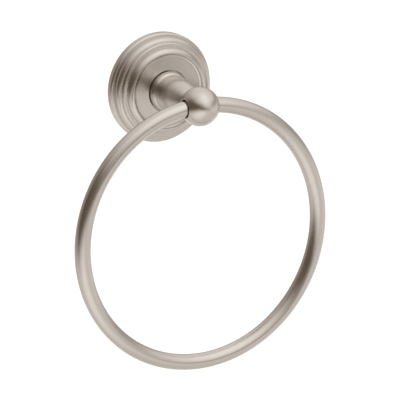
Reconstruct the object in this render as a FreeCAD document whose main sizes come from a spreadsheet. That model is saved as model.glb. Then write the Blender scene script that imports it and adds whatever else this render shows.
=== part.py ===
"""Wall-mounted towel ring: a stepped round cover, a turned post with a ball end, and a loose ring.

Millimetres. The origin is on the wall plane, on the axis of the post. +Z is up, and the wall's
outward normal is -Y, so everything that stands in the room has a negative Y.

Every piece is drawn on a bench frame of its own, with its turning axis along Z, and is then laid
in place. Pieces on the wall axis turn their bench +Z to the room (-Y) and their bench +Y up.
"""

import FreeCAD, Part
import math
import os

import Sketcher

Vector = FreeCAD.Vector
Rotation = FreeCAD.Rotation
Placement = FreeCAD.Placement

# Driving dimensions in millimetres, with angles in degrees. Depths count from the wall.
DIMENSIONS = {
    # Ring
    "ringRadius": 75.0,
    "rodRadius": 4.5,
    "ringPlay": 0.7,
    # Post
    "ballStandoff": 50.7,
    "ballRadius": 11.15,
    "ballHoleRound": 0.35,
    "neckRadius": 10.45,
    "neckTipRadius": 6.9,
    "neckCurve": 66.0,
    "shoulderRound": 0.55,
    "collarLip": 1.35,
    "collarRound": 3.4,
    "collarRise": 2.6,
    "postThreadDepth": 14.0,
    # Cover, from the wall outwards
    "rimRadius": 31.9,
    "rimHeight": 2.8,
    "rimRound": 1.3,
    "rimLedge": 0.5,
    "stepOneHeight": 4.7,
    "stepOneTaper": 0.15,
    "stepOneRound": 2.35,
    "stepOneLedge": 0.1,
    "stepTwoHeight": 1.65,
    "stepTwoTaper": 0.1,
    "stepTwoRound": 0.8,
    "stepTwoLedge": 1.8,
    "beadWall": 0.15,
    "beadRadius": 3.0,
    "coveWidth": 1.9,
    "faceSink": 1.15,
    "faceCurve": 245.0,
    "collarGap": 0.5,
    "seatSink": 1.15,
    "seatFloor": 2.1,
    "coverWall": 2.1,
    # Screw that holds the post to the cover
    "postScrewRadius": 3.0,
    "postScrewReach": 12.0,
    "postScrewHeadRadius": 5.75,
    "postScrewHeadHeight": 3.6,
    "washerRadius": 5.3,
    "washerHeight": 1.5,
    "washerSlit": 1.2,
    # Wall bracket and its hook under the top of the cover
    "plateThickness": 1.6,
    "plateHalfWidth": 16.0,
    "plateWindowRadius": 7.5,
    "lipReach": 3.4,
    "lipGap": 0.15,
    "lipDepth": 2.7,
    "hookAngle": 44.0,
    "hookGap": 0.25,
    "ribHeight": 1.85,
    "ribSlack": 1.2,
    "tongueGap": 0.4,
    # Screws through the bracket
    "wallScrewRadius": 2.1,
    "wallScrewNeckRadius": 1.7,
    "wallScrewLength": 32.0,
    "wallScrewPoint": 5.0,
    "wallScrewHeadRadius": 4.0,
    "wallScrewHeadHeight": 2.4,
    "wallScrewHeadRoom": 3.0,
    # Locking screw under the cover
    "lockScrewRadius": 1.5,
    "lockScrewSunk": 0.7,
    "lockScrewRoom": 0.3,
    "lockScrewCup": 0.5,
    "lockScrewSocket": 1.5,
    "lockScrewSocketDepth": 1.8,
    # Shared by all screws; the driver recess reaches this share of the head's radius
    "headRound": 1.0,
    "recessArm": 0.55,
    "recessShare": 0.5,
    "recessDepth": 1.5,
    "threadGap": 0.05,
    "holeGap": 0.3,
    # How far a cut runs past the metal that it goes through
    "cutOverrun": 1.0,
}

# Depths and radii that follow from the driving dimensions
RING_HOLE = "(Sizes.rodRadius + Sizes.ringPlay)"
RIM_LEDGE_DEPTH = "(Sizes.rimHeight + Sizes.rimRound)"
STEP_ONE_FOOT = "(Sizes.rimRadius - Sizes.rimRound - Sizes.rimLedge)"
STEP_ONE_TOP = f"({STEP_ONE_FOOT} - Sizes.stepOneTaper)"
STEP_ONE_DEPTH = f"({RIM_LEDGE_DEPTH} + Sizes.stepOneHeight)"
STEP_TWO_FOOT = f"({STEP_ONE_TOP} - Sizes.stepOneRound - Sizes.stepOneLedge)"
STEP_TWO_TOP = f"({STEP_TWO_FOOT} - Sizes.stepTwoTaper)"
STEP_TWO_DEPTH = f"({STEP_ONE_DEPTH} + Sizes.stepTwoHeight)"
BEAD_FOOT = f"({STEP_TWO_TOP} - Sizes.stepTwoRound - Sizes.stepTwoLedge)"
BEAD_DEPTH = f"({STEP_TWO_DEPTH} + Sizes.beadWall)"
CREST_RADIUS = f"({BEAD_FOOT} - Sizes.beadRadius)"
CREST_DEPTH = f"({BEAD_DEPTH} + Sizes.beadRadius)"
COVE_RADIUS = "((Sizes.coveWidth ^ 2 + Sizes.faceSink ^ 2) / (2 * Sizes.faceSink))"
FACE_RADIUS = f"({CREST_RADIUS} - Sizes.coveWidth)"
FACE_DEPTH = f"({CREST_DEPTH} - Sizes.faceSink)"
FACE_RISE = f"(Sizes.faceCurve - sqrt(Sizes.faceCurve ^ 2 - {FACE_RADIUS} ^ 2))"
FACE_TOP = f"({FACE_DEPTH} + {FACE_RISE})"
SEAT_DEPTH = f"({FACE_DEPTH} - Sizes.seatSink)"
COLLAR_RADIUS = "(Sizes.neckRadius + Sizes.collarLip)"
SEAT_RADIUS = f"({COLLAR_RADIUS} + Sizes.collarGap)"
FLOOR_BACK = f"({SEAT_DEPTH} - Sizes.seatFloor)"
CAVITY_RADIUS = f"({STEP_ONE_FOOT} - Sizes.coverWall)"
CAVITY_DEPTH = f"({STEP_ONE_DEPTH} - Sizes.coverWall)"
INNER_CAVITY_RADIUS = f"({BEAD_FOOT} - Sizes.coverWall)"
FLANGE_RADIUS = f"({CAVITY_RADIUS} - Sizes.lipReach)"
FLANGE_INNER_RADIUS = f"({FLANGE_RADIUS} - Sizes.plateThickness)"
WALL_SCREW_OFFSET = f"({FLANGE_INNER_RADIUS} - Sizes.wallScrewHeadRadius - Sizes.wallScrewHeadRoom)"
LOCK_SCREW_DEPTH = f"({CAVITY_DEPTH} - Sizes.lockScrewRoom - Sizes.lockScrewRadius)"
LOCK_SCREW_LENGTH = f"({STEP_ONE_FOOT} - Sizes.lockScrewSunk - {FLANGE_RADIUS})"
BALL_HEIGHT = f"(Sizes.ballStandoff - {SEAT_DEPTH})"

document = FreeCAD.newDocument("TowelRing")
sheet = document.addObject("Spreadsheet::Sheet", "Sizes")
for row, (alias, number) in enumerate(DIMENSIONS.items(), start=1):
    sheet.set(f"A{row}", alias)
    sheet.set(f"B{row}", str(number))
    sheet.setAlias(f"B{row}", alias)
document.recompute()

# Turns of a bench frame: its +Z to the room, its +Z to the wall, or left upright
FACING_ROOM = Rotation(Vector(1, 0, 0), 90)
FACING_WALL = Rotation(Vector(1, 0, 0), -90)
UPRIGHT = Rotation()

# Lengths and volumes closer than this count as the same
TINY = 1e-6

# How far the height of a hole's mouth may be from the hole's width
MOUTH_TOLERANCE = 0.01


def value(expression):
    """Number that an expression gives with the sheet's present sizes."""
    return float(sheet.evalExpression(str(expression)))


def new_body(label, rotation, depth="0", height="0"):
    """Body of one piece, with its bench frame laid at a depth from the wall and a height."""
    body = document.addObject("PartDesign::Body", label.title().replace("_", ""))
    body.Label = label
    body.Placement = Placement(Vector(), rotation)
    body.setExpression("Placement.Base.y", f"-({depth})")
    body.setExpression("Placement.Base.z", str(height))
    return body


def new_sketch(body, name, role, lift="0", turn=0):
    """Sketch on one of the body's own planes, lifted along its normal and turned about its Y."""
    sketch = body.newObject("Sketcher::SketchObject", name)
    for feature in body.Origin.OriginFeatures:
        if feature.Role == role:
            sketch.AttachmentSupport = [(feature, "")]
    sketch.MapMode = "FlatFace"
    sketch.AttachmentOffset = Placement(Vector(), Rotation(Vector(0, 1, 0), turn))
    sketch.setExpression("AttachmentOffset.Base.z", str(lift))
    return sketch


def constrain(sketch, name, expression, *arguments):
    """Dimension of a sketch, bound to an expression of the sheet."""
    kind = arguments[0]
    index = sketch.addConstraint(Sketcher.Constraint(kind, *arguments[1:], value(expression)))
    sketch.renameConstraint(index, name)
    sketch.setExpression(f"Constraints.{name}", str(expression))


def arc_geometry(start, end, radius, side):
    """Arc under half a turn between two points, bulging to the left (+1) or right (-1) of the way."""
    chord = end - start
    across = Vector(-chord.y, chord.x, 0).normalize() * side
    rise = math.sqrt(max(radius ** 2 - (chord.Length / 2) ** 2, 0.0))
    middle = (start + end) / 2
    top = middle + across * (radius - rise)
    return Part.Arc(start, top, end)


def draw_outline(sketch, corners):
    """Closed outline of lines and arcs.

    A corner is (x, y), or (x, y, radius, side) where an arc runs from it to the next corner.
    """
    points = [Vector(value(corner[0]), value(corner[1]), 0) for corner in corners]
    for index, corner in enumerate(corners):
        start = points[index]
        end = points[(index + 1) % len(points)]
        if len(corner) == 4:
            arc = arc_geometry(start, end, value(corner[2]), corner[3])
            sketch.addGeometry(arc, False)
        else:
            sketch.addGeometry(Part.LineSegment(start, end), False)
    ends = [find_ends(sketch, index, points) for index in range(len(corners))]
    for index, corner in enumerate(corners):
        following = (index + 1) % len(corners)
        here, there = ends[index]
        joined = Sketcher.Constraint("Coincident", index, there, following, ends[following][0])
        sketch.addConstraint(joined)
        constrain(sketch, f"x{index}", corner[0], "DistanceX", -1, 1, index, here)
        constrain(sketch, f"y{index}", corner[1], "DistanceY", -1, 1, index, here)
        if len(corner) == 4:
            constrain(sketch, f"radius{index}", corner[2], "Radius", index)


def find_ends(sketch, index, points):
    """Which end of an edge, 1 or 2, lies on its own corner, and which on the next one."""
    if (sketch.getPoint(index, 1) - points[index]).Length < TINY:
        return 1, 2
    return 2, 1


def draw_circle(sketch, x, y, radius):
    """Circle with its centre and radius bound to the sheet."""
    centre = Vector(value(x), value(y), 0)
    index = sketch.addGeometry(Part.Circle(centre, Vector(0, 0, 1), value(radius)), False)
    constrain(sketch, f"x{index}", x, "DistanceX", -1, 1, index, 3)
    constrain(sketch, f"y{index}", y, "DistanceY", -1, 1, index, 3)
    constrain(sketch, f"radius{index}", radius, "Radius", index)


def turned(body, kind, name, sketch, angle=None):
    """Revolution or Groove of a sketch about the bench Z axis; an angle is centred on the sketch."""
    feature = body.newObject(f"PartDesign::{kind}", name)
    feature.Profile = (sketch, [""])
    feature.ReferenceAxis = (sketch, ["V_Axis"])
    feature.Angle = 360
    if angle is not None:
        feature.Midplane = True
        feature.setExpression("Angle", angle)
    document.recompute()
    return feature


def pocket(body, name, sketch, depth, reverse=False, both_ways=False):
    """Pocket of a sketch to a depth, against the sketch's normal unless it is reversed."""
    feature = body.newObject("PartDesign::Pocket", name)
    feature.Profile = (sketch, [""])
    feature.setExpression("Length", str(depth))
    feature.Reversed = reverse
    feature.Midplane = both_ways
    before = feature.BaseFeature.Shape.Volume
    document.recompute()
    if feature.Shape.Volume > before - TINY:
        raise RuntimeError(f"{name} cuts nothing")
    return feature


def cross_recess(body, head_radius):
    """Cross-shaped driver recess in a screw head whose flat lies on the bench plane Z = 0."""
    sketch = new_sketch(body, "RecessSketch", "XY_Plane")
    arm = "Sizes.recessArm"
    reach = f"({head_radius} * Sizes.recessShare)"
    draw_outline(sketch, [
        (reach, f"-{arm}"), (reach, arm), (arm, arm),
        (arm, reach), (f"-{arm}", reach), (f"-{arm}", arm),
        (f"-{reach}", arm), (f"-{reach}", f"-{arm}"), (f"-{arm}", f"-{arm}"),
        (f"-{arm}", f"-{reach}"), (arm, f"-{reach}"), (arm, f"-{arm}")])
    return pocket(body, "Recess", sketch, "Sizes.recessDepth", reverse=True)


def make_cover():
    """Round stepped cover with a hollow back, a seat for the post and a hook rib at the top."""
    body = new_body("escutcheon", FACING_ROOM)

    outside = new_sketch(body, "OutsideSketch", "XZ_Plane")
    draw_outline(outside, [
        ("0", "0"),
        ("Sizes.rimRadius", "0"),
        ("Sizes.rimRadius", "Sizes.rimHeight", "Sizes.rimRound", -1),
        ("Sizes.rimRadius - Sizes.rimRound", RIM_LEDGE_DEPTH),
        (STEP_ONE_FOOT, RIM_LEDGE_DEPTH),
        (STEP_ONE_TOP, f"{STEP_ONE_DEPTH} - Sizes.stepOneRound", "Sizes.stepOneRound", -1),
        (f"{STEP_ONE_TOP} - Sizes.stepOneRound", STEP_ONE_DEPTH),
        (STEP_TWO_FOOT, STEP_ONE_DEPTH),
        (STEP_TWO_TOP, f"{STEP_TWO_DEPTH} - Sizes.stepTwoRound", "Sizes.stepTwoRound", -1),
        (f"{STEP_TWO_TOP} - Sizes.stepTwoRound", STEP_TWO_DEPTH),
        (BEAD_FOOT, STEP_TWO_DEPTH),
        (BEAD_FOOT, BEAD_DEPTH, "Sizes.beadRadius", -1),
        (CREST_RADIUS, CREST_DEPTH, COVE_RADIUS, 1),
        (FACE_RADIUS, FACE_DEPTH, "Sizes.faceCurve", -1),
        ("0", FACE_TOP)])
    turned(body, "Revolution", "Outside", outside)

    inside = new_sketch(body, "CavitySketch", "XZ_Plane")
    draw_outline(inside, [
        ("0", "0"),
        (CAVITY_RADIUS, "0"),
        (CAVITY_RADIUS, CAVITY_DEPTH),
        (INNER_CAVITY_RADIUS, CAVITY_DEPTH),
        (INNER_CAVITY_RADIUS, FLOOR_BACK),
        ("0", FLOOR_BACK)])
    turned(body, "Groove", "Cavity", inside)

    seat = new_sketch(body, "SeatSketch", "XY_Plane", FACE_TOP)
    draw_circle(seat, "0", "0", SEAT_RADIUS)
    pocket(body, "Seat", seat, f"{FACE_TOP} - {SEAT_DEPTH}")

    hole = new_sketch(body, "PostScrewHoleSketch", "XY_Plane", FACE_TOP)
    draw_circle(hole, "0", "0", "Sizes.postScrewRadius + Sizes.holeGap")
    pocket(body, "PostScrewHole", hole, f"{FACE_TOP} - {FLOOR_BACK} + Sizes.cutOverrun")

    rib = new_sketch(body, "HookRibSketch", "YZ_Plane")
    rib_front = "(Sizes.lipDepth - Sizes.hookGap)"
    rib_back = f"({rib_front} - Sizes.ribHeight)"
    rib_root = f"({CAVITY_RADIUS} + Sizes.coverWall / 2)"
    rib_edge = f"({FLANGE_RADIUS} + Sizes.ribSlack)"
    draw_outline(rib, [
        (rib_edge, rib_back), (rib_root, rib_back), (rib_root, rib_front), (rib_edge, rib_front)])
    turned(body, "Revolution", "HookRib", rib, "Sizes.hookAngle")

    lock = new_sketch(body, "LockScrewHoleSketch", "XZ_Plane")
    draw_circle(lock, "0", LOCK_SCREW_DEPTH, "Sizes.lockScrewRadius")
    pocket(body, "LockScrewHole", lock, "Sizes.rimRadius + Sizes.cutOverrun", reverse=True)
    return body


def make_post():
    """Turned post: a collar in the cover's seat, a swelling neck, and a ball bored for the ring."""
    body = new_body("post", FACING_ROOM, SEAT_DEPTH)
    collar_middle = f"({COLLAR_RADIUS} - Sizes.collarRound)"
    foot_radius = f"({collar_middle} + sqrt(Sizes.collarRound ^ 2 - Sizes.collarRise ^ 2))"
    crease_radius = "(Sizes.neckRadius - Sizes.shoulderRound)"
    crease_rise = f"sqrt(Sizes.collarRound ^ 2 - ({crease_radius} - {collar_middle}) ^ 2)"
    crease_height = f"(Sizes.collarRise + {crease_rise})"
    tip_drop = "sqrt(Sizes.ballRadius ^ 2 - Sizes.neckTipRadius ^ 2)"

    outline = new_sketch(body, "OutlineSketch", "XZ_Plane")
    draw_outline(outline, [
        ("0", "0"),
        (foot_radius, "0", "Sizes.collarRound", -1),
        (crease_radius, crease_height, "Sizes.shoulderRound", -1),
        ("Sizes.neckRadius", f"{crease_height} + Sizes.shoulderRound", "Sizes.neckCurve", -1),
        ("Sizes.neckTipRadius", f"{BALL_HEIGHT} - {tip_drop}", "Sizes.ballRadius", -1),
        ("0", f"{BALL_HEIGHT} + Sizes.ballRadius")])
    turned(body, "Revolution", "Outline", outline)

    bore = new_sketch(body, "RingHoleSketch", "YZ_Plane")
    draw_circle(bore, "0", BALL_HEIGHT, RING_HOLE)
    hole_length = "2 * (Sizes.ballRadius + Sizes.cutOverrun)"
    hole = pocket(body, "RingHole", bore, hole_length, both_ways=True)

    mouth_edges = []
    for index, edge in enumerate(hole.Shape.Edges, start=1):
        box = edge.BoundBox
        one_side = box.XMin * box.XMax > 0
        if one_side and abs(box.ZLength - 2 * value(RING_HOLE)) < MOUTH_TOLERANCE:
            mouth_edges.append(f"Edge{index}")
    rounding = body.newObject("PartDesign::Fillet", "RingHoleMouths")
    rounding.Base = (hole, mouth_edges)
    rounding.setExpression("Radius", "Sizes.ballHoleRound")
    document.recompute()

    foot = new_sketch(body, "ThreadSketch", "XY_Plane")
    draw_circle(foot, "0", "0", "Sizes.postScrewRadius + Sizes.threadGap")
    pocket(body, "ThreadedHole", foot, "Sizes.postThreadDepth", reverse=True)
    return body


def make_ring():
    """Closed hoop of round rod that hangs in the ball, its arc centred in the hole's height."""
    half_fall = f"(Sizes.ballRadius ^ 2 - {RING_HOLE} ^ 2) / (4 * Sizes.ringRadius)"
    body = new_body("ring", FACING_ROOM, "Sizes.ballStandoff", f"{half_fall} - Sizes.ringRadius")
    section = new_sketch(body, "RodSketch", "XZ_Plane")
    draw_circle(section, "Sizes.ringRadius", "0", "Sizes.rodRadius")
    turned(body, "Revolution", "Hoop", section)
    return body


def make_post_screw():
    """Pan-head machine screw from behind the cover's floor into the foot of the post."""
    head_depth = f"({FLOOR_BACK} - Sizes.washerHeight - Sizes.postScrewHeadHeight)"
    length = f"({SEAT_DEPTH} - {head_depth} + Sizes.postScrewReach)"
    body = new_body("post_screw", FACING_ROOM, head_depth)
    outline = new_sketch(body, "OutlineSketch", "XZ_Plane")
    draw_outline(outline, [
        ("0", "0"),
        ("Sizes.postScrewHeadRadius - Sizes.headRound", "0", "Sizes.headRound", -1),
        ("Sizes.postScrewHeadRadius", "Sizes.headRound"),
        ("Sizes.postScrewHeadRadius", "Sizes.postScrewHeadHeight"),
        ("Sizes.postScrewRadius", "Sizes.postScrewHeadHeight"),
        ("Sizes.postScrewRadius", f"{length} - Sizes.headRound"),
        ("Sizes.postScrewRadius - Sizes.headRound", length),
        ("0", length)])
    turned(body, "Revolution", "Outline", outline)
    cross_recess(body, "Sizes.postScrewHeadRadius")
    return body


def make_lock_washer():
    """Spring washer, pressed flat between the post screw's head and the cover's floor."""
    body = new_body("lock_washer", FACING_ROOM, f"{FLOOR_BACK} - Sizes.washerHeight")
    section = new_sketch(body, "SectionSketch", "XZ_Plane")
    inner = "Sizes.postScrewRadius + Sizes.holeGap"
    draw_outline(section, [
        (inner, "0"), ("Sizes.washerRadius", "0"),
        ("Sizes.washerRadius", "Sizes.washerHeight"), (inner, "Sizes.washerHeight")])
    turned(body, "Revolution", "Section", section)
    slit = new_sketch(body, "SlitSketch", "XY_Plane")
    half = "Sizes.washerSlit / 2"
    lean = "Sizes.washerSlit"
    near = "Sizes.postScrewRadius / 2"
    far = "Sizes.washerRadius + Sizes.cutOverrun"
    draw_outline(slit, [
        (near, f"-{half}"), (far, f"-{half} + {lean}"), (far, f"{half} + {lean}"), (near, half)])
    pocket(body, "Slit", slit, "Sizes.washerHeight", reverse=True)
    return body


def make_bracket():
    """Pressed steel bracket: a plate on the wall, a hooked lip at the top, a tongue at the bottom."""
    body = new_body("wall_bracket", FACING_ROOM)
    plate = new_sketch(body, "PlateSketch", "XY_Plane")
    side = "Sizes.plateHalfWidth"
    corner = f"sqrt({FLANGE_RADIUS} ^ 2 - {side} ^ 2)"
    draw_outline(plate, [
        (side, f"-{corner}"), (side, corner, FLANGE_RADIUS, -1),
        (f"-{side}", corner), (f"-{side}", f"-{corner}", FLANGE_RADIUS, -1)])
    sheet_metal = body.newObject("PartDesign::Pad", "Plate")
    sheet_metal.Profile = (plate, [""])
    sheet_metal.setExpression("Length", "Sizes.plateThickness")
    document.recompute()

    hook = new_sketch(body, "HookSketch", "YZ_Plane")
    lip_front = "(Sizes.lipDepth + Sizes.plateThickness)"
    lip_edge = f"({CAVITY_RADIUS} - Sizes.lipGap)"
    bend = "Sizes.plateThickness / 2"
    draw_outline(hook, [
        (FLANGE_INNER_RADIUS, bend), (FLANGE_RADIUS, bend), (FLANGE_RADIUS, "Sizes.lipDepth"),
        (lip_edge, "Sizes.lipDepth"), (lip_edge, lip_front),
        (f"{FLANGE_INNER_RADIUS} + {bend}", lip_front, bend, 1),
        (FLANGE_INNER_RADIUS, f"{lip_front} - {bend}")])
    turned(body, "Revolution", "Hook", hook, "Sizes.hookAngle")

    tongue = new_sketch(body, "TongueSketch", "YZ_Plane", turn=180)
    tongue_front = f"({CAVITY_DEPTH} - Sizes.tongueGap)"
    draw_outline(tongue, [
        (FLANGE_INNER_RADIUS, bend), (FLANGE_RADIUS, bend),
        (FLANGE_RADIUS, tongue_front), (FLANGE_INNER_RADIUS, tongue_front)])
    turned(body, "Revolution", "Tongue", tongue, "Sizes.hookAngle")

    window = new_sketch(body, "WindowSketch", "XY_Plane")
    draw_circle(window, "0", "0", "Sizes.plateWindowRadius")
    pocket(body, "Window", window, "Sizes.plateThickness", reverse=True)
    holes = new_sketch(body, "ScrewHolesSketch", "XY_Plane")
    hole_radius = "Sizes.wallScrewRadius + Sizes.holeGap"
    draw_circle(holes, "0", WALL_SCREW_OFFSET, hole_radius)
    draw_circle(holes, "0", f"-{WALL_SCREW_OFFSET}", hole_radius)
    pocket(body, "ScrewHoles", holes, "Sizes.plateThickness", reverse=True)
    return body


def make_wall_screws():
    """Two pan-head wood screws, one above and one below the axis, with their threads in the wall."""
    head_depth = "(Sizes.plateThickness + Sizes.wallScrewHeadHeight)"
    body = new_body("wall_screws", FACING_WALL, head_depth, WALL_SCREW_OFFSET)
    outline = new_sketch(body, "OutlineSketch", "XZ_Plane")
    length = "(Sizes.wallScrewHeadHeight + Sizes.wallScrewLength)"
    draw_outline(outline, [
        ("0", "0"),
        ("Sizes.wallScrewHeadRadius - Sizes.headRound", "0", "Sizes.headRound", -1),
        ("Sizes.wallScrewHeadRadius", "Sizes.headRound"),
        ("Sizes.wallScrewHeadRadius", "Sizes.wallScrewHeadHeight"),
        ("Sizes.wallScrewNeckRadius", "Sizes.wallScrewHeadHeight"),
        ("Sizes.wallScrewNeckRadius", head_depth),
        ("Sizes.wallScrewRadius", head_depth),
        ("Sizes.wallScrewRadius", f"{length} - Sizes.wallScrewPoint"),
        ("0", length)])
    shank = turned(body, "Revolution", "Outline", outline)
    recess = cross_recess(body, "Sizes.wallScrewHeadRadius")
    pair = body.newObject("PartDesign::LinearPattern", "Pair")
    pair.Originals = [shank, recess]
    for feature in body.Origin.OriginFeatures:
        if feature.Role == "Y_Axis":
            pair.Direction = (feature, [""])
    pair.Occurrences = 2
    pair.setExpression("Length", f"2 * {WALL_SCREW_OFFSET}")
    body.Tip = pair
    document.recompute()
    return body


def make_lock_screw():
    """Headless screw with a hexagon socket, up through the cover to the bracket's tongue."""
    body = new_body("set_screw", UPRIGHT, LOCK_SCREW_DEPTH, f"-{FLANGE_RADIUS} - {LOCK_SCREW_LENGTH}")
    radius = "(Sizes.lockScrewRadius - Sizes.threadGap)"
    outline = new_sketch(body, "OutlineSketch", "XZ_Plane")
    draw_outline(outline, [
        ("0", "0"),
        (radius, "0"),
        (radius, f"{LOCK_SCREW_LENGTH} - Sizes.lockScrewCup"),
        (f"{radius} - Sizes.lockScrewCup", LOCK_SCREW_LENGTH),
        ("0", LOCK_SCREW_LENGTH)])
    turned(body, "Revolution", "Outline", outline)
    socket = new_sketch(body, "SocketSketch", "XY_Plane")
    across = "Sizes.lockScrewSocket / 2"
    point = f"({across} / cos(30 deg))"
    corners = []
    for step in range(6):
        corners.append((f"{point} * cos({60 * step} deg)", f"{point} * sin({60 * step} deg)"))
    draw_outline(socket, corners)
    pocket(body, "Socket", socket, "Sizes.lockScrewSocketDepth", reverse=True)
    return body


pieces = [
    make_cover(), make_post(), make_ring(), make_post_screw(),
    make_lock_washer(), make_bracket(), make_wall_screws(), make_lock_screw()]
document.recompute()

for item in document.Objects:
    if "Invalid" in item.State or "Error" in item.State:
        raise RuntimeError(f"{item.Label} failed: {item.State}")

SOLIDS = {"wall_screws": 2}
os.makedirs("parts", exist_ok=True)
for piece in pieces:
    shape = piece.Shape
    if shape.isNull() or not shape.isValid():
        raise RuntimeError(f"{piece.Label} has no valid shape")
    if len(shape.Solids) != SOLIDS.get(piece.Label, 1):
        raise RuntimeError(f"{piece.Label} has {len(shape.Solids)} solids")
    shape.exportStep(f"parts/{piece.Label}.step")
    print(f"{piece.Label}: {shape.Volume:.1f} mm3, {shape.BoundBox}")
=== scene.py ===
"""Looks of a satin nickel towel ring: camera, studio, floor, finishes and the threads of its screws.

Metres, in the frame of the CAD model: +Z up, the wall plane at Y = 0 and the room on the -Y side.
"""

import math

import bmesh
import bpy
from mathutils import Matrix, Vector


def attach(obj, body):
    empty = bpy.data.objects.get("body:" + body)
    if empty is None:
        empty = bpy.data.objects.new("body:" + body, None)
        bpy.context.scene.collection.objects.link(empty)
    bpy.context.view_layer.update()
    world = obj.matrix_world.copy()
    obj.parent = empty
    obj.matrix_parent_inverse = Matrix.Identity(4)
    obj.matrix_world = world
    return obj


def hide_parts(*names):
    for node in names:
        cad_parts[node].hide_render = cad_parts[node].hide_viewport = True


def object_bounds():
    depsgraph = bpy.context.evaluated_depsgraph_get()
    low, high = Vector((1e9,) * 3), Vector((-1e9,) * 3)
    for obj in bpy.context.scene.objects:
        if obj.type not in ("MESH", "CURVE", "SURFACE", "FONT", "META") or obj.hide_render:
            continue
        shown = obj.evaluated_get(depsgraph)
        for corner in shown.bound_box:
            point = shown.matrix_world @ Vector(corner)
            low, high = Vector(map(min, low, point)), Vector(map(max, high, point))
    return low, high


MILLIMETRE = 0.001
WHITE = (1.0, 1.0, 1.0)

# Camera, fitted to the photo: angles in degrees, distance, clipping, lens and aim
CAMERA_AZIMUTH = -27.77
CAMERA_ELEVATION = 16.85
CAMERA_ROLL = -1.02
CAMERA_DISTANCE = 2.1
CAMERA_NEAR = 0.05
CAMERA_FAR = 60.0
FOCAL_PIXELS = 3727.8
FRAME_PIXELS = 400
SENSOR_WIDTH = 36.0
AIM_CENTRE = Vector((0.0, -0.0507, -0.0743))
AIM_RIGHT = -0.00111
AIM_UP = 0.01892

# Floor: how far it lies under the ring, its width, its grey and the glow that the camera sees on it
FLOOR_DROP = 0.45
FLOOR_SIZE = 12.0
FLOOR_TONE = 0.8
FLOOR_GLOW = 0.5

# Light that the studio sends from straight below, from the horizon and from straight above
STUDIO_BELOW = 0.70
STUDIO_HORIZON = 0.90
STUDIO_ABOVE = 0.85
# Least light from anywhere, and how much redder and less blue than grey all of it is
STUDIO_DARKEST = 0.10
STUDIO_RED = 0.04
STUDIO_BLUE = -0.03
# Share of a panel's half-width over which it fades out, and how fast it fades behind the studio's middle
PANEL_SOFTNESS = 0.8
BEHIND_WEIGHT = 3.0
# Studio panels: name, azimuth and elevation of the middle, half-width, half-height and turn in degrees,
# and the light added. Azimuth 0 is towards the wall's +Y, and 90 is towards +X.
STUDIO_PANELS = [
    ("dark room left", -100, 20, 85, 55, 30, -0.75),
    ("dark room behind", -30, 10, 85, 65, -25, -0.50),
    ("dark horizon left", -150, 10, 55, 35, 5, -0.60),
    ("dark horizon front", 175, -3, 50, 15, 10, -0.55),
    ("dark room at the wall", 0, 5, 30, 25, 0, -0.15),
    ("dark strip right", 110, 10, 65, 20, -10, -0.40),
    ("key window", 155, 55, 40, 65, 20, 0.30),
    ("floor in front", -150, -35, 85, 45, -40, 0.30),
    ("floor behind", 0, -30, 25, 30, 20, 0.20),
    ("floor right", 65, -40, 25, 20, 0, 0.20),
    ("dark floor right", 120, -30, 35, 15, 0, -0.10),
    ("dark room right", 45, 5, 85, 35, 10, -0.45),
    ("dark floor left", -80, -5, 60, 25, 5, -0.30),
]

# Range that most of a noise texture lies in
NOISE_LOW = 0.3
NOISE_HIGH = 0.7

# Satin nickel: colour and roughness, then its hair lines, bands and mottle. A pitch lies across the grain
# and a run lies along it, in radians. A tone or rough is the most that a mark changes colour or roughness.
NICKEL_COLOUR = (0.655, 0.62, 0.58)
NICKEL_ROUGHNESS = 0.24
HAIR_PITCH = 0.00022
HAIR_RUN = 0.35
HAIR_DETAIL = 3.0
HAIR_TONE = 0.03
HAIR_ROUGH = 0.03
HAIR_DEPTH = 0.000004
BAND_PITCH = 0.0011
BAND_RUN = 2.5
BAND_DETAIL = 1.0
BAND_TONE = 0.015
BAND_DEPTH = 0.000012
MOTTLE_SIZE = 0.004
MOTTLE_DETAIL = 2.0
MOTTLE_ROUGH = 0.015
# Radius to which brushing and plating ease every crease
EDGE_EASE = 0.0005
EASE_SAMPLES = 6
# Share of a turned piece's normal round its axis that counts as a fault of the seam and is taken out
SEAM_TILT = 0.06
# Circle that the ring's rod follows
RING_CENTRE = Vector((0.0, -0.0507, -0.07467))
RING_RADIUS = 0.075

# Plated steel: colour and roughness, then its crystals, clouds and scratches
STEEL_COLOUR = (0.66, 0.67, 0.69)
STEEL_ROUGHNESS = 0.30
CRYSTAL_SIZE = 0.0007
CRYSTAL_TONE = 0.08
CRYSTAL_ROUGH = 0.06
CLOUD_SIZE = 0.006
CLOUD_DETAIL = 3.0
CLOUD_TONE = 0.04
SCRATCH_SIZE = 0.0004
SCRATCH_STRETCH = (1.0, 1.0, 0.12)
SCRATCH_DETAIL = 2.0
SCRATCH_ROUGH = 0.04
SCRATCH_DEPTH = 0.000005

# Smallest fold between facets that shows as an edge
CREASE_ANGLE = math.radians(32)

# Ways that a screw points from its head: into the wall, into the room or up
SCREW_FACING = {
    "wall": Matrix.Rotation(math.radians(-90), 4, "X"),
    "room": Matrix.Rotation(math.radians(90), 4, "X"),
    "up": Matrix.Identity(4),
}
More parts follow.
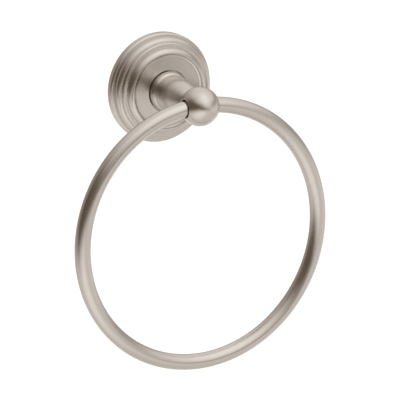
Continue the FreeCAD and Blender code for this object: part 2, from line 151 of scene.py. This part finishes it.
# Screws, in millimetres: the way and middle of each head's flat in the frame, then heights from that flat
# and radii of the head and neck with the driver recess, then the thread. Flank and land are rows of the
# thread's form, of which a pitch has as many as columns.
SCREW_COLUMNS = 24
SCREWS = {
    "wall_screws": {
        "places": [("wall", (0.0, -4.0, 16.0)), ("wall", (0.0, -4.0, -16.0))],
        "flat": 3.0, "edge": 1.0, "outline": [(4.0, 2.4), (1.7, 2.4), (1.7, 4.0)],
        "recess": "cross", "reach": 2.0, "recess_depth": 1.5, "recess_taper": 0.75,
        "start": 4.0, "length": 34.4, "crest": 2.1, "root": 1.45, "pitch": 1.8,
        "flank": 4, "land": 2, "end_length": 5.0, "end_radius": 0.0,
    },
    "post_screw": {
        "places": [("room", (0.0, -4.1, 0.0))],
        "flat": 4.75, "edge": 1.0, "outline": [(5.75, 3.6)],
        "recess": "cross", "reach": 2.875, "recess_depth": 1.5, "recess_taper": 0.75,
        "start": 3.6, "length": 19.2, "crest": 3.0, "root": 2.4, "pitch": 1.0,
        "flank": 10, "land": 2, "end_length": 1.0, "end_radius": 2.0,
    },
    "set_screw": {
        "places": [("up", (0.0, -4.9, -29.4))],
        "flat": 1.15, "edge": 0.0, "outline": [],
        "recess": "hexagon", "reach": 0.87, "recess_depth": 1.8, "recess_taper": 1.0,
        "start": 0.25, "length": 4.8, "crest": 1.45, "root": 1.15, "pitch": 0.5,
        "flank": 10, "land": 2, "end_length": 0.5, "end_radius": 0.95,
    },
}
# Half-width of a cross recess's arm, steps in a head's rounded edge, and turns in which a thread fades in
RECESS_ARM = 0.55
EDGE_STEPS = 6
FADE_IN_TURNS = 0.5


def camera_axes():
    """Right, up and back directions of the camera, with its roll."""
    azimuth = math.radians(CAMERA_AZIMUTH)
    elevation = math.radians(CAMERA_ELEVATION)
    roll = math.radians(CAMERA_ROLL)
    back = Vector((math.sin(azimuth) * math.cos(elevation), -math.cos(azimuth) * math.cos(elevation),
                   math.sin(elevation)))
    level = Vector((math.cos(azimuth), math.sin(azimuth), 0.0))
    upright = back.cross(level)
    right = level * math.cos(roll) + upright * math.sin(roll)
    up = upright * math.cos(roll) - level * math.sin(roll)
    return right, up, back


def make_camera():
    """Camera at the photograph's angle, distance and framing."""
    right, up, back = camera_axes()
    data = bpy.data.cameras.new("camera")
    data.sensor_width = SENSOR_WIDTH
    data.lens = SENSOR_WIDTH * FOCAL_PIXELS / FRAME_PIXELS
    data.clip_start = CAMERA_NEAR
    data.clip_end = CAMERA_FAR
    camera = bpy.data.objects.new("camera", data)
    bpy.context.scene.collection.objects.link(camera)
    aim = AIM_CENTRE + right * AIM_RIGHT + up * AIM_UP
    place = Matrix((right, up, back)).transposed().to_4x4()
    place.translation = aim + back * CAMERA_DISTANCE
    camera.matrix_world = place
    bpy.context.scene.camera = camera


class Nodes:
    """Short way to add and join the nodes of one tree."""

    def __init__(self, tree):
        self.tree = tree
        tree.nodes.clear()

    def add(self, kind, inputs=None, **settings):
        """New node with the given settings, and inputs by name or number."""
        node = self.tree.nodes.new(kind)
        for name, setting in settings.items():
            setattr(node, name, setting)
        for name, source in (inputs or {}).items():
            self.feed(node.inputs[name], source)
        return node

    def feed(self, socket, source):
        """Join an input to an output, or give it a number, a vector or a colour."""
        if isinstance(source, bpy.types.NodeSocket):
            self.tree.links.new(source, socket)
        elif socket.type == "RGBA":
            socket.default_value = (*source, 1.0)
        else:
            socket.default_value = source

    def math(self, operation, *operands):
        """Number that an operation gives."""
        return self.add("ShaderNodeMath", dict(enumerate(operands)), operation=operation).outputs[0]

    def vector_math(self, operation, *operands):
        """Number that a vector product or length gives, or vector that another operation gives."""
        node = self.add("ShaderNodeVectorMath", dict(enumerate(operands)), operation=operation)
        return node.outputs["Value" if operation in ("DOT_PRODUCT", "LENGTH") else "Vector"]

    def scale(self, vector, factor):
        """Vector made longer or shorter by a factor."""
        node = self.add("ShaderNodeVectorMath", {0: vector, "Scale": factor}, operation="SCALE")
        return node.outputs["Vector"]

    def convert(self, normal, source, target):
        """Unit normal brought from one space to another."""
        node = self.add("ShaderNodeVectorTransform", {"Vector": normal}, vector_type="NORMAL",
                        convert_from=source, convert_to=target)
        return self.vector_math("NORMALIZE", node.outputs["Vector"])

    def separate(self, vector):
        """X, Y and Z of a vector, as outputs by name."""
        return self.add("ShaderNodeSeparateXYZ", {"Vector": vector}).outputs

    def noise(self, where, size, detail):
        """Noise with marks of about the given size."""
        inputs = {"Vector": where, "Scale": 1 / size, "Detail": detail}
        return self.add("ShaderNodeTexNoise", inputs).outputs[0]

    def spread(self, noise, middle, reach):
        """Noise brought to the range that reaches both ways from the middle."""
        ramp = self.add("ShaderNodeMapRange", {
            "Value": noise,
            "From Min": NOISE_LOW,
            "From Max": NOISE_HIGH,
            "To Min": middle - reach,
            "To Max": middle + reach,
        })
        return ramp.outputs["Result"]

    def relief(self, height, depth, normal=None):
        """Normal of a surface that a pattern raises by the depth, starting from a given normal if any."""
        inputs = {"Height": height, "Strength": 1.0, "Distance": depth}
        if normal is not None:
            inputs["Normal"] = normal
        return self.add("ShaderNodeBump", inputs).outputs["Normal"]


def panel_axes(azimuth, elevation, half_width, half_height, turn):
    """Three vectors whose products with a direction measure how far it lies from a panel's middle.

    The first two reach 1 at the panel's edges. The third counts only behind the studio's middle.
    """
    azimuth = math.radians(azimuth)
    elevation = math.radians(elevation)
    turn = math.radians(turn)
    middle = Vector((math.sin(azimuth) * math.cos(elevation), math.cos(azimuth) * math.cos(elevation),
                     math.sin(elevation)))
    level = Vector((math.cos(azimuth), -math.sin(azimuth), 0.0))
    upright = level.cross(middle)
    across = level * math.cos(turn) + upright * math.sin(turn)
    along = upright * math.cos(turn) - level * math.sin(turn)
    across = across / math.sin(math.radians(half_width))
    along = along / math.sin(math.radians(half_height))
    return across, along, middle * -BEHIND_WEIGHT


def panel_light(nodes, where, panel):
    """Light that a soft panel adds in every direction."""
    name, *placing, amount = panel
    across, along, behind = [nodes.vector_math("DOT_PRODUCT", where, axis) for axis in panel_axes(*placing)]
    offset = nodes.add("ShaderNodeCombineXYZ", {
        "X": across,
        "Y": along,
        "Z": nodes.math("MAXIMUM", behind, 0.0),
    }, label=name)
    ramp = nodes.add("ShaderNodeMapRange", {
        "Value": nodes.vector_math("LENGTH", offset.outputs["Vector"]),
        "From Min": 1.0,
        "From Max": 1.0 - PANEL_SOFTNESS,
        "To Min": 0.0,
        "To Max": amount,
    }, interpolation_type="SMOOTHSTEP", label=name)
    return ramp.outputs["Result"]


def make_world():
    """White for the camera, and a soft studio with bright and dark panels for light and gloss."""
    world = bpy.data.worlds.new("studio")
    bpy.context.scene.world = world
    world.use_nodes = True
    nodes = Nodes(world.node_tree)
    where = nodes.add("ShaderNodeTexCoord").outputs["Generated"]
    height = nodes.separate(where)["Z"]
    sky = nodes.math("MULTIPLY", nodes.math("MAXIMUM", height, 0.0), STUDIO_ABOVE - STUDIO_HORIZON)
    ground = nodes.math("MULTIPLY", nodes.math("MINIMUM", height, 0.0), STUDIO_HORIZON - STUDIO_BELOW)
    light = nodes.math("ADD", nodes.math("ADD", sky, ground), STUDIO_HORIZON)
    for panel in STUDIO_PANELS:
        light = nodes.math("ADD", light, panel_light(nodes, where, panel))
    light = nodes.math("MAXIMUM", light, STUDIO_DARKEST)
    colour = nodes.add("ShaderNodeCombineColor", {
        "Red": nodes.math("ADD", light, STUDIO_RED),
        "Green": light,
        "Blue": nodes.math("ADD", light, STUDIO_BLUE),
    })
    studio = nodes.add("ShaderNodeBackground", {"Color": colour.outputs["Color"], "Strength": 1.0})
    white = nodes.add("ShaderNodeBackground", {"Color": WHITE, "Strength": 1.0})
    seen = nodes.add("ShaderNodeLightPath").outputs["Is Camera Ray"]
    mix = nodes.add("ShaderNodeMixShader", {0: seen, 1: studio.outputs[0], 2: white.outputs[0]})
    nodes.add("ShaderNodeOutputWorld", {"Surface": mix.outputs[0]})


def new_material(name):
    """Empty material, and its nodes."""
    material = bpy.data.materials.new(name)
    material.use_nodes = True
    return material, Nodes(material.node_tree)


def make_floor():
    """Plain white floor well under the ring.

    It doesn't show from below, so no view from there is blocked. In the metal the studio's own lower
    half takes its place.
    """
    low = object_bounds()[0]
    mesh = bpy.data.meshes.new("floor")
    half = FLOOR_SIZE / 2
    corners = [(-half, -half, 0), (half, -half, 0), (half, half, 0), (-half, half, 0)]
    mesh.from_pydata(corners, [], [(0, 1, 2, 3)])
    floor = bpy.data.objects.new("floor", mesh)
    floor.location = (0, 0, low.z - FLOOR_DROP)
    bpy.context.scene.collection.objects.link(floor)
    material, nodes = new_material("floor_white")
    matte = nodes.add("ShaderNodeBsdfDiffuse", {"Color": (FLOOR_TONE, FLOOR_TONE, FLOOR_TONE)})
    glow = nodes.add("ShaderNodeEmission", {"Color": WHITE, "Strength": FLOOR_GLOW})
    lit = nodes.add("ShaderNodeAddShader", {0: matte.outputs[0], 1: glow.outputs[0]})
    rays = nodes.add("ShaderNodeLightPath").outputs
    seen = rays["Is Camera Ray"]
    front = nodes.add("ShaderNodeMixShader", {0: seen, 1: matte.outputs[0], 2: lit.outputs[0]})
    clear = nodes.add("ShaderNodeBsdfTransparent")
    below = nodes.add("ShaderNodeNewGeometry").outputs["Backfacing"]
    unseen = nodes.math("MAXIMUM", below, rays["Is Glossy Ray"])
    whole = nodes.add("ShaderNodeMixShader", {0: unseen, 1: front.outputs[0], 2: clear.outputs[0]})
    nodes.add("ShaderNodeOutputMaterial", {"Surface": whole.outputs[0]})
    mesh.materials.append(material)


def turned_grain(nodes, offset, pitch, run, detail):
    """Grain that runs round a turned piece or along the ring's rod: fine across, long along it.

    The pattern lives on the unit circle, the radius and the depth at once, so it has no seam.
    """
    flat = nodes.vector_math("MULTIPLY", offset, (1.0, 0.0, 1.0))
    around = nodes.separate(nodes.scale(nodes.vector_math("NORMALIZE", flat), 1 / run))
    place = nodes.add("ShaderNodeCombineXYZ", {
        "X": around["X"],
        "Y": around["Z"],
        "Z": nodes.math("DIVIDE", nodes.vector_math("LENGTH", flat), pitch),
    })
    grain = nodes.add("ShaderNodeTexNoise", {
        "Vector": place.outputs["Vector"],
        "W": nodes.math("DIVIDE", nodes.separate(offset)["Y"], pitch),
        "Scale": 1.0,
        "Detail": detail,
    }, noise_dimensions="4D")
    return grain.outputs[0]


def turned_normal(nodes, offset):
    """Normal of a turned piece, with creases eased and no share round the axis, so no seam shows."""
    eased = nodes.add("ShaderNodeBevel", {"Radius": EDGE_EASE}, samples=EASE_SAMPLES)
    local = nodes.convert(eased.outputs["Normal"], "WORLD", "OBJECT")
    round_axis = nodes.vector_math("NORMALIZE", nodes.vector_math("CROSS_PRODUCT", offset, (0.0, 1.0, 0.0)))
    share = nodes.vector_math("DOT_PRODUCT", local, round_axis)
    small = nodes.add("ShaderNodeMapRange", {
        "Value": nodes.math("ABSOLUTE", share),
        "From Min": SEAM_TILT,
        "From Max": 2 * SEAM_TILT,
        "To Min": 1.0,
        "To Max": 0.0,
    }, interpolation_type="SMOOTHSTEP")
    fault = nodes.scale(round_axis, nodes.math("MULTIPLY", share, small.outputs["Result"]))
    return nodes.convert(nodes.vector_math("SUBTRACT", local, fault), "OBJECT", "WORLD")


def rod_normal(nodes, offset):
    """Normal of the ring's round rod, from the circle that the rod follows."""
    flat = nodes.vector_math("MULTIPLY", offset, (1.0, 0.0, 1.0))
    circle = nodes.scale(nodes.vector_math("NORMALIZE", flat), RING_RADIUS)
    return nodes.convert(nodes.vector_math("SUBTRACT", offset, circle), "OBJECT", "WORLD")


def bare_metal(nodes, colour, roughness, normal):
    """Metal of the given colour, roughness and normal as the material's surface."""
    metal = nodes.add("ShaderNodeBsdfPrincipled", {
        "Base Color": colour,
        "Metallic": 1.0,
        "Roughness": roughness,
        "Normal": normal,
    })
    nodes.add("ShaderNodeOutputMaterial", {"Surface": metal.outputs[0]})


def satin_nickel(name, centre, true_normal):
    """Warm satin nickel, finely brushed round the centre: hair lines, faint broader bands, slight mottle."""
    material, nodes = new_material(name)
    where = nodes.add("ShaderNodeTexCoord").outputs["Object"]
    offset = nodes.vector_math("SUBTRACT", where, centre)
    hair = turned_grain(nodes, offset, HAIR_PITCH, HAIR_RUN, HAIR_DETAIL)
    band = turned_grain(nodes, offset, BAND_PITCH, BAND_RUN, BAND_DETAIL)
    mottle = nodes.noise(where, MOTTLE_SIZE, MOTTLE_DETAIL)
    tone = nodes.math("MULTIPLY", nodes.spread(hair, 1.0, HAIR_TONE), nodes.spread(band, 1.0, BAND_TONE))
    rough = nodes.math("ADD", nodes.spread(hair, 0.0, HAIR_ROUGH), nodes.spread(mottle, 0.0, MOTTLE_ROUGH))
    fine = nodes.relief(hair, HAIR_DEPTH, true_normal(nodes, offset))
    broad = nodes.relief(band, BAND_DEPTH, fine)
    bare_metal(nodes, nodes.scale(NICKEL_COLOUR, tone), nodes.math("ADD", rough, NICKEL_ROUGHNESS), broad)
    return material


def plated_steel():
    """Zinc-plated steel of the hidden hardware: pale crystals and clouds, fine scratches, a soft sheen."""
    material, nodes = new_material("plated_steel")
    where = nodes.add("ShaderNodeTexCoord").outputs["Object"]
    crystals = nodes.add("ShaderNodeTexVoronoi", {"Vector": where, "Scale": 1 / CRYSTAL_SIZE})
    grey = nodes.add("ShaderNodeSeparateColor", {"Color": crystals.outputs["Color"]}).outputs["Red"]
    cloud = nodes.noise(where, CLOUD_SIZE, CLOUD_DETAIL)
    stretched = nodes.vector_math("MULTIPLY", where, SCRATCH_STRETCH)
    scratch = nodes.noise(stretched, SCRATCH_SIZE, SCRATCH_DETAIL)
    tone = nodes.math("ADD", nodes.math("MULTIPLY", grey, CRYSTAL_TONE),
                      nodes.spread(cloud, 1.0 - CLOUD_TONE, CLOUD_TONE))
    rough = nodes.math("ADD", nodes.math("MULTIPLY", grey, CRYSTAL_ROUGH),
                       nodes.spread(scratch, 0.0, SCRATCH_ROUGH))
    normal = nodes.relief(scratch, SCRATCH_DEPTH)
    bare_metal(nodes, nodes.scale(STEEL_COLOUR, tone), nodes.math("ADD", rough, STEEL_ROUGHNESS), normal)
    return material


def dress(node, material):
    """Smooth shading between true edges, and one material, on a piece."""
    mesh = node.data
    mesh.shade_smooth()
    mesh.set_sharp_from_angle(angle=CREASE_ANGLE)
    mesh.materials.clear()
    mesh.materials.append(material)


def recess_outline(kind, reach):
    """Corners of a driver recess on the head's flat: a cross with arms as wide as a bit, or a hexagon."""
    if kind == "hexagon":
        turns = [math.radians(60 * step) for step in range(6)]
        return [(reach * math.cos(turn), reach * math.sin(turn)) for turn in turns]
    arm = RECESS_ARM
    quarter = [(reach, -arm), (reach, arm), (arm, arm)]
    corners = []
    for cosine, sine in ((1, 0), (0, 1), (-1, 0), (0, -1)):
        corners += [(x * cosine - y * sine, x * sine + y * cosine) for x, y in quarter]
    return corners


def thread_radius(screw, row, column):
    """Radius of a threaded shank, in millimetres, at a row along it and a column round it."""
    height = row * screw["pitch"] / SCREW_COLUMNS
    phase = (row - column) % SCREW_COLUMNS
    flank = screw["flank"]
    share = max(0.0, min(1.0, phase / flank, (2 * flank + screw["land"] - phase) / flank))
    share *= min(1.0, height / (FADE_IN_TURNS * screw["pitch"]))
    left = min(1.0, (screw["length"] - screw["start"] - height) / screw["end_length"])
    crest = screw["end_radius"] + (screw["crest"] - screw["end_radius"]) * left
    pointed = screw["end_radius"] == 0
    root = min(crest, screw["root"] * (left if pointed else 1.0))
    return root + (crest - root) * share


def screw_rows(screw):
    """Radii round a screw and height of each of its rows, from the head's flat down.

    The plain rows of the head and neck come first, then those of the thread.
    """
    plain = []
    steps = EDGE_STEPS if screw["edge"] else 0
    for step in range(steps + 1):
        turn = math.pi / 2 * step / EDGE_STEPS
        plain.append((screw["flat"] + screw["edge"] * math.sin(turn), screw["edge"] * (1 - math.cos(turn))))
    plain += screw["outline"]
    threaded = []
    count = int((screw["length"] - screw["start"]) / screw["pitch"] * SCREW_COLUMNS)
    for row in range(count + 1):
        radii = [thread_radius(screw, row, column) for column in range(SCREW_COLUMNS)]
        threaded.append((radii, screw["start"] + row * screw["pitch"] / SCREW_COLUMNS))
    return [([radius] * SCREW_COLUMNS, height) for radius, height in plain], threaded


def add_row(form, place, radii, height):
    """Corners of one row round a screw's axis."""
    corners = []
    for column, radius in enumerate(radii):
        turn = math.tau * column / SCREW_COLUMNS
        corner = Vector((radius * math.cos(turn), radius * math.sin(turn), height))
        corners.append(form.verts.new(place @ corner))
    return corners


def add_screw(form, screw, place):
    """One screw in a bmesh: turned head and neck, a right-handed thread with its end, and the recess."""
    plain, threaded = screw_rows(screw)
    rows = [add_row(form, place, radii, height) for radii, height in plain + threaded]
    for index in range(1, len(rows)):
        below = rows[index - 1]
        above = rows[index]
        for column in range(SCREW_COLUMNS):
            after = (column + 1) % SCREW_COLUMNS
            if index <= len(plain):
                form.faces.new((below[column], below[after], above[after], above[column]))
            else:
                form.faces.new((below[column], below[after], above[after]))
                form.faces.new((below[column], above[after], above[column]))
    tip = form.verts.new(place @ Vector((0.0, 0.0, screw["length"])))
    for column in range(SCREW_COLUMNS):
        form.faces.new((rows[-1][column], rows[-1][(column + 1) % SCREW_COLUMNS], tip))
    add_recess(form, screw, place, rows[0])


def add_recess(form, screw, place, rim):
    """Head's flat inside its rim, with the driver recess sunk into it."""
    corners = recess_outline(screw["recess"], screw["reach"])
    taper = screw["recess_taper"]
    depth = screw["recess_depth"]
    mouth = [form.verts.new(place @ Vector((x, y, 0.0))) for x, y in corners]
    floor = [form.verts.new(place @ Vector((x * taper, y * taper, depth))) for x, y in corners]
    for index in range(len(corners)):
        form.faces.new((mouth[index - 1], mouth[index], floor[index], floor[index - 1]))
    form.faces.new(floor)
    edges = []
    for loop in (rim, mouth):
        edges += [form.edges.get((loop[index - 1], loop[index])) for index in range(len(loop))]
    bmesh.ops.triangle_fill(form, edges=edges, use_beauty=True)


def make_screws(node, steel):
    """Threaded screws in the place of a node's plain ones, with the same heads, lengths and outer radii."""
    screw = SCREWS[node]
    form = bmesh.new()
    for way, corner in screw["places"]:
        place = Matrix.Scale(MILLIMETRE, 4) @ Matrix.Translation(corner) @ SCREW_FACING[way]
        add_screw(form, screw, place)
    bmesh.ops.recalc_face_normals(form, faces=form.faces)
    mesh = bpy.data.meshes.new(node + "_threaded")
    form.to_mesh(mesh)
    form.free()
    piece = bpy.data.objects.new(node + "_threaded", mesh)
    bpy.context.scene.collection.objects.link(piece)
    dress(piece, steel)
    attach(piece, "holder")
    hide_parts(node)


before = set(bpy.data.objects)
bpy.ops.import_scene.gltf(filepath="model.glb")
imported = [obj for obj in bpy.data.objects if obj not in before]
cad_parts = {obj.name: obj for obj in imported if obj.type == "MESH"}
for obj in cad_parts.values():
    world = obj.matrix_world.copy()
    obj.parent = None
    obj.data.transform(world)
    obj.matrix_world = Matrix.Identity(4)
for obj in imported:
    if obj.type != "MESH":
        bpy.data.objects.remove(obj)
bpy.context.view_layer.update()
make_camera()
make_world()
make_floor()
turned_nickel = satin_nickel("satin_nickel_turned", Vector((0.0, 0.0, 0.0)), turned_normal)
ring_nickel = satin_nickel("satin_nickel_ring", RING_CENTRE, rod_normal)
steel = plated_steel()
nickel_pieces = {"escutcheon": turned_nickel, "post": turned_nickel, "ring": ring_nickel}
for name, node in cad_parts.items():
    dress(node, nickel_pieces.get(name, steel))
for name in SCREWS:
    make_screws(name, steel)

bpy.context.scene.view_settings.view_transform = "Standard"
